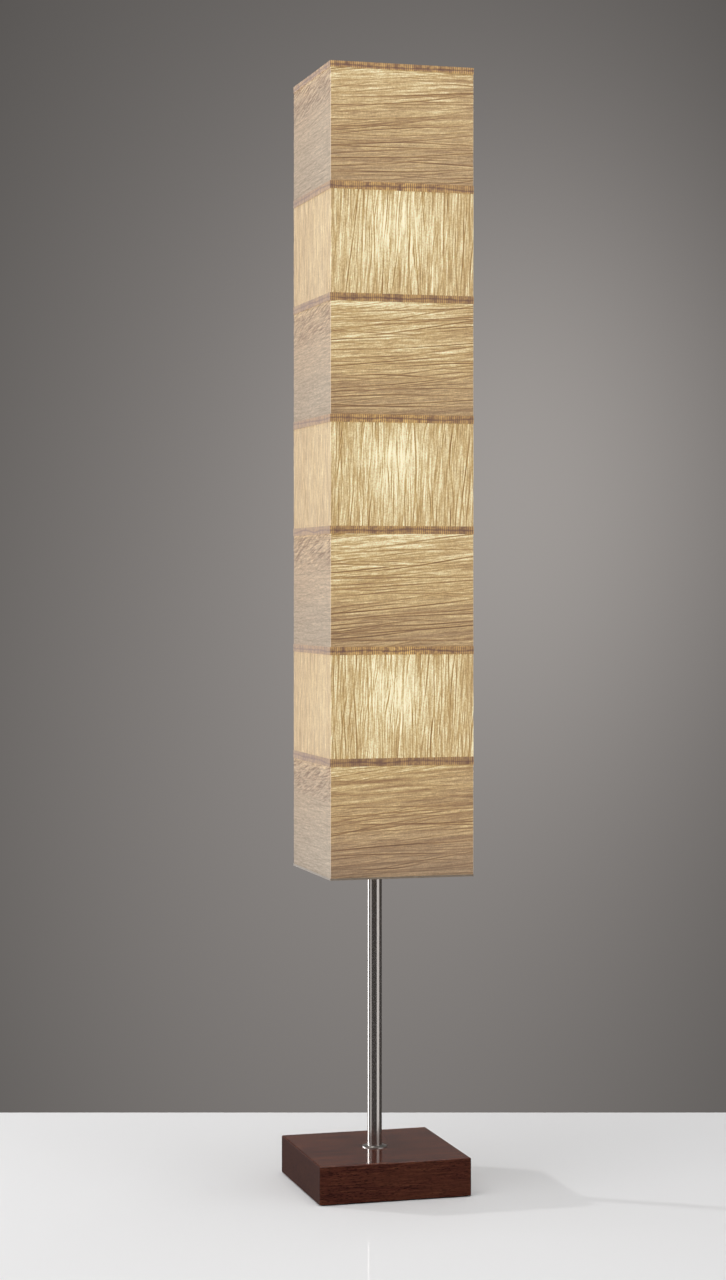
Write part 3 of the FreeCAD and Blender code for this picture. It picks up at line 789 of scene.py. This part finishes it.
def add_light(name, place, target, width, height, power):
    """Soft lamp of a given size that faces a target."""
    data = bpy.data.lights.new(name, "AREA")
    data.shape = "RECTANGLE"
    data.size = width
    data.size_y = height
    data.energy = power
    light = bpy.data.objects.new(name, data)
    light.location = place
    light.rotation_euler = (Vector(target) - Vector(place)).to_track_quat("-Z", "Y").to_euler()
    light.visible_camera = False
    bpy.context.scene.collection.objects.link(light)
    return light


def add_panel(name, turn, width, power, height=PANEL_HEIGHT, middle=0.0):
    """Soft panel that stands PANEL_AWAY from the lamp; turn is from the camera's side, in degrees."""
    way = math.sin(math.radians(turn)) * aside - math.cos(math.radians(turn)) * ahead
    target = Vector((0, 0, middle))
    return add_light(name, target + PANEL_AWAY * way, target, width, height, power)


def add_lights():
    """A small lamp that casts the shadow, two broad ones from above, and panels that the metal mirrors."""
    add_light("key", lamp_foot + KEY_AWAY * KEY_WAY, lamp_foot, width=0.10, height=0.10, power=56)
    add_light("top", TOP_PLACE, TOP_TARGET, width=2.4, height=2.4, power=80)
    soft_place = lamp_foot - SOFT_LEFT * aside - SOFT_NEAR * ahead + Vector((0, 0, SOFT_UP))
    add_light("soft", soft_place, lamp_foot, width=1.5, height=1.5, power=12)
    add_panel("strip", turn=-120, width=1.15, power=16, height=1.0, middle=-0.25)
    # Seen only in reflections: it carries the bright line down the pole to the collar and the wood
    glint = add_panel("glint", turn=-120, width=1.15, power=38, height=1.0, middle=0.85)
    glint.visible_diffuse = False
    add_panel("left", turn=-64, width=1.9, power=9)
    add_panel("right", turn=57, width=2.3, power=18.5)


def add_world():
    """Even light, and a grey backdrop with a paler pool of light behind the lamp."""
    world = bpy.data.worlds.new("studio")
    bpy.context.scene.world = world
    world.use_nodes = True
    tree = Nodes(world.node_tree)
    turned = tree.add("ShaderNodeMapping")
    turned.inputs["Rotation"].default_value = (0, 0, -CAMERA_TURN)
    tree.fill(turned.inputs["Vector"], tree.add("ShaderNodeTexCoord").outputs["Generated"])

    def pool(aside_share, up_share, width, height, strength):
        """Soft patch of light on the backdrop, in shares of its distance."""
        place = tree.add("ShaderNodeMapping", vector_type="TEXTURE")
        place.inputs["Location"].default_value = (aside_share, 1, up_share)
        place.inputs["Scale"].default_value = (width, POOL_DEPTH, height)
        tree.fill(place.inputs["Vector"], turned.outputs[0])
        size = tree.add("ShaderNodeVectorMath", operation="LENGTH")
        tree.fill(size.inputs[0], place.outputs[0])
        square = tree.math("POWER", size.outputs["Value"], 2)
        fall = tree.math("EXPONENT", tree.math("MULTIPLY", square, -1))
        return tree.math("MULTIPLY", fall, strength)

    wide = pool(aside_share=-0.002, up_share=-0.043, width=0.175, height=0.31, strength=0.186)
    near = pool(aside_share=0.070, up_share=0.044, width=0.092, height=0.117, strength=0.144)
    seen = tree.add("ShaderNodeBackground")
    seen.inputs["Color"].default_value = BACKDROP_TINT
    tree.fill(seen.inputs["Strength"], tree.math("ADD", tree.math("ADD", wide, near), BACKDROP_DARK))
    plain = world.node_tree.nodes["Background"]
    plain.inputs["Color"].default_value = (1, 0.99, 0.98, 1)
    plain.inputs["Strength"].default_value = WORLD_LIGHT
    path = tree.add("ShaderNodeLightPath").outputs
    direct = tree.math("MAXIMUM", path["Is Camera Ray"], path["Is Glossy Ray"])
    mix = tree.add("ShaderNodeMixShader")
    tree.fill(mix.inputs["Fac"], tree.math("MAXIMUM", direct, path["Is Transmission Ray"]))
    tree.fill(mix.inputs[1], plain.outputs[0])
    tree.fill(mix.inputs[2], seen.outputs[0])
    tree.fill(world.node_tree.nodes["World Output"].inputs["Surface"], mix.outputs[0])


def add_camera():
    """Camera at the photograph's place, held level, with its horizon shifted to the photograph's."""
    data = bpy.data.cameras.new("camera")
    data.lens = LENS_MM
    data.shift_y = (HORIZON_PX - PHOTO_HEIGHT_PX / 2) / PHOTO_HEIGHT_PX
    camera = bpy.data.objects.new("camera", data)
    camera.location = CAMERA_PLACE
    camera.rotation_euler = (math.pi / 2, 0, CAMERA_TURN)
    bpy.context.scene.collection.objects.link(camera)
    bpy.context.scene.camera = camera


add_floor()
add_world()
add_lights()
add_camera()

bpy.context.scene.view_settings.view_transform = "Standard"
